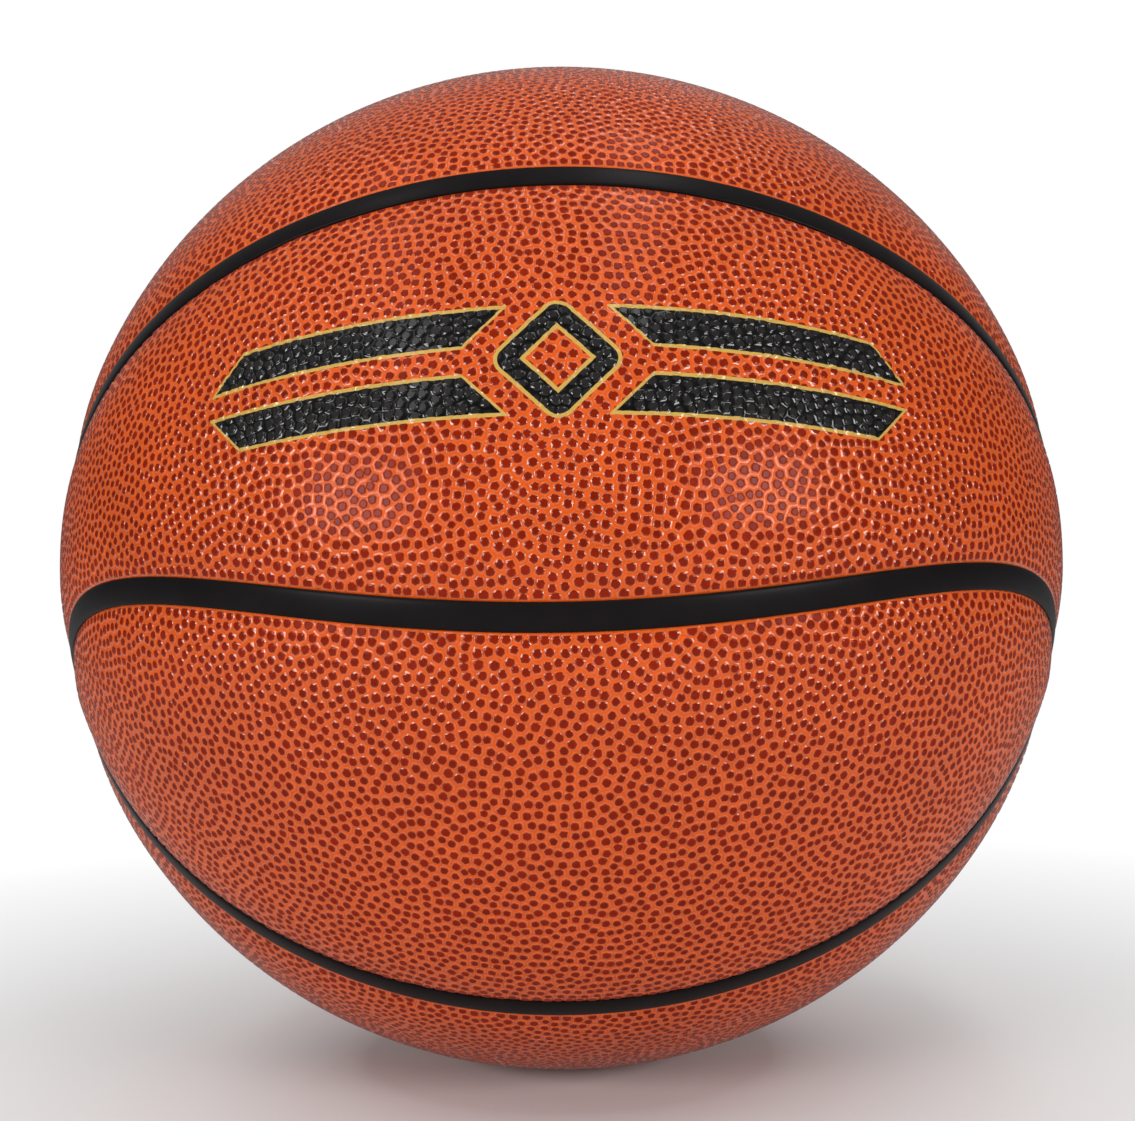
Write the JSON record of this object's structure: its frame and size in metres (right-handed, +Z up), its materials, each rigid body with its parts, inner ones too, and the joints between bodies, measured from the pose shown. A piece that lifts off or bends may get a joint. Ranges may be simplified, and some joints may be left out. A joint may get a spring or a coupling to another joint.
{
  "type": "basketball",
  "caption": "Round grained game ball laid up in layers, with panels between recessed black ribs and a self-sealing needle valve for inflating it.",
  "frame": {"origin": "centre of the ball", "axes": "+X along the line through the two points where the straight seams cross, +Z up as the ball lies, -Y towards the front, where the centre seam stands 40.7 degrees above the level"},
  "size_m": [0.2396, 0.24, 0.24],
  "materials": {
    "cover": "grained composite leather, semi-gloss pebbles",
    "sponge": "open sponge, matt",
    "rib_rubber": "smooth matt black",
    "thread": "wound thread in latex",
    "bladder_rubber": "smooth, dusted",
    "valve_rubber": "moulded, satin"
  },
  "bodies": {
    "root": {"crescent_panel_top": "cover", "lens_panel_top": "cover", "crescent_panel_front": "cover", "lens_panel_front": "cover", "crescent_panel_bottom": "cover", "lens_panel_bottom": "cover", "crescent_panel_back": "cover", "lens_panel_back": "cover", "crescent_pad_top": "sponge", "lens_pad_top": "sponge", "crescent_pad_front": "sponge", "lens_pad_front": "sponge", "crescent_pad_bottom": "sponge", "lens_pad_bottom": "sponge", "crescent_pad_back": "sponge", "lens_pad_back": "sponge", "rubber_carcass": "rib_rubber", "thread_winding": "thread", "bladder": "bladder_rubber", "valve_housing": "valve_rubber", "valve_core": "valve_rubber"}
  },
  "joints": []
}
